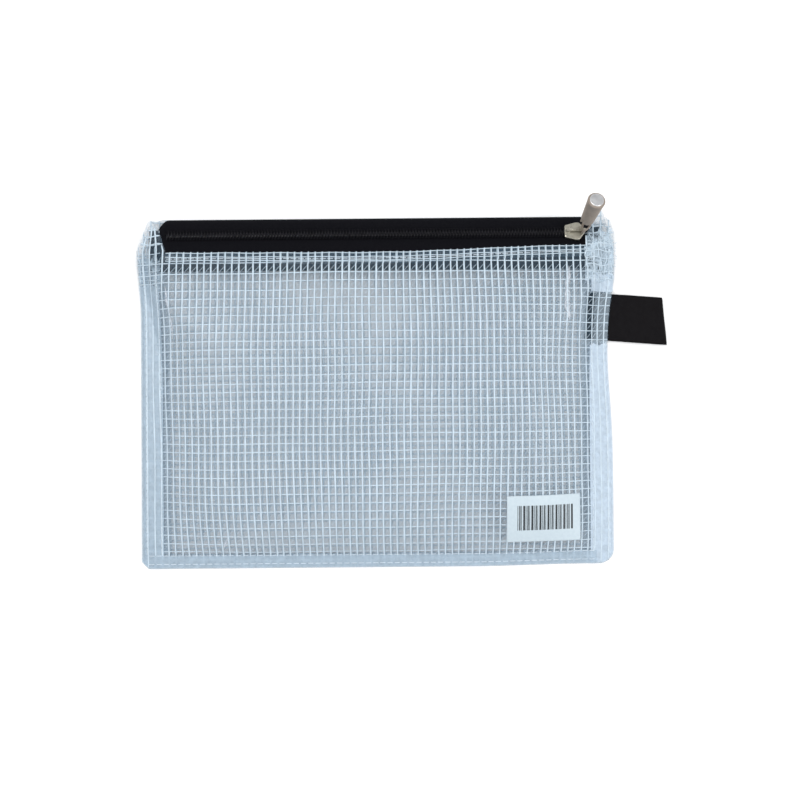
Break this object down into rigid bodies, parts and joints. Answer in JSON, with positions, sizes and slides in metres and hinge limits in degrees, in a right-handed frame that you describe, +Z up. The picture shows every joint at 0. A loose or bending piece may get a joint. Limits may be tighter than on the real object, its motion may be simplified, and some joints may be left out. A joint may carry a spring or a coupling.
{
  "type": "zipper pouch",
  "caption": "Flat see-through pouch of grid-reinforced film with a black coil zipper, metal slider with a barrel pull, ribbon label loop and a small sticker.",
  "frame": {"origin": "on the flat underside of the back panel, at the middle of the pouch, where it rests on the table", "axes": "+X along the zipper towards the closed slider, +Y towards the zipper edge, +Z up from the table towards the front panel"},
  "size_m": [0.2127, 0.1456, 0.0322],
  "materials": {
    "front_film": "clear film with a woven white grid inside",
    "back_film": "clear film with a woven white grid inside",
    "tape": "black woven tape",
    "coil": "black nylon",
    "cord": "black twisted cord",
    "slider_metal": "nickel plated zinc, slightly dulled",
    "pull_metal": "nickel plated zinc, polished",
    "ribbon": "black woven ribbon, left bare",
    "sticker": "white coated paper"
  },
  "bodies": {
    "pouch": {"back_panel": "back_film", "front_panel": "front_film", "front_tape": "tape", "back_tape": "tape", "front_coil": "coil", "back_coil": "coil", "front_coil_cord": "cord", "back_coil_cord": "cord", "label_loop": "ribbon", "barcode_sticker": "sticker"},
    "slider": {"slider_body": "slider_metal"},
    "pull": {"slider_pull": "pull_metal"}
  },
  "joints": [
    {"name": "slider_slide", "type": "slide", "parent": "pouch", "child": "slider", "axis": [-1, 0, 0], "range_m": [0, 0.157], "deforming": ["front_coil", "back_coil"]},
    {"name": "pull_swing", "type": "hinge", "parent": "slider", "child": "pull", "pos_m": [0.0822, 0.06395, 0.00944], "axis": [0, 0.9285, -0.3714], "range_deg": [-50, 52]}
  ]
}
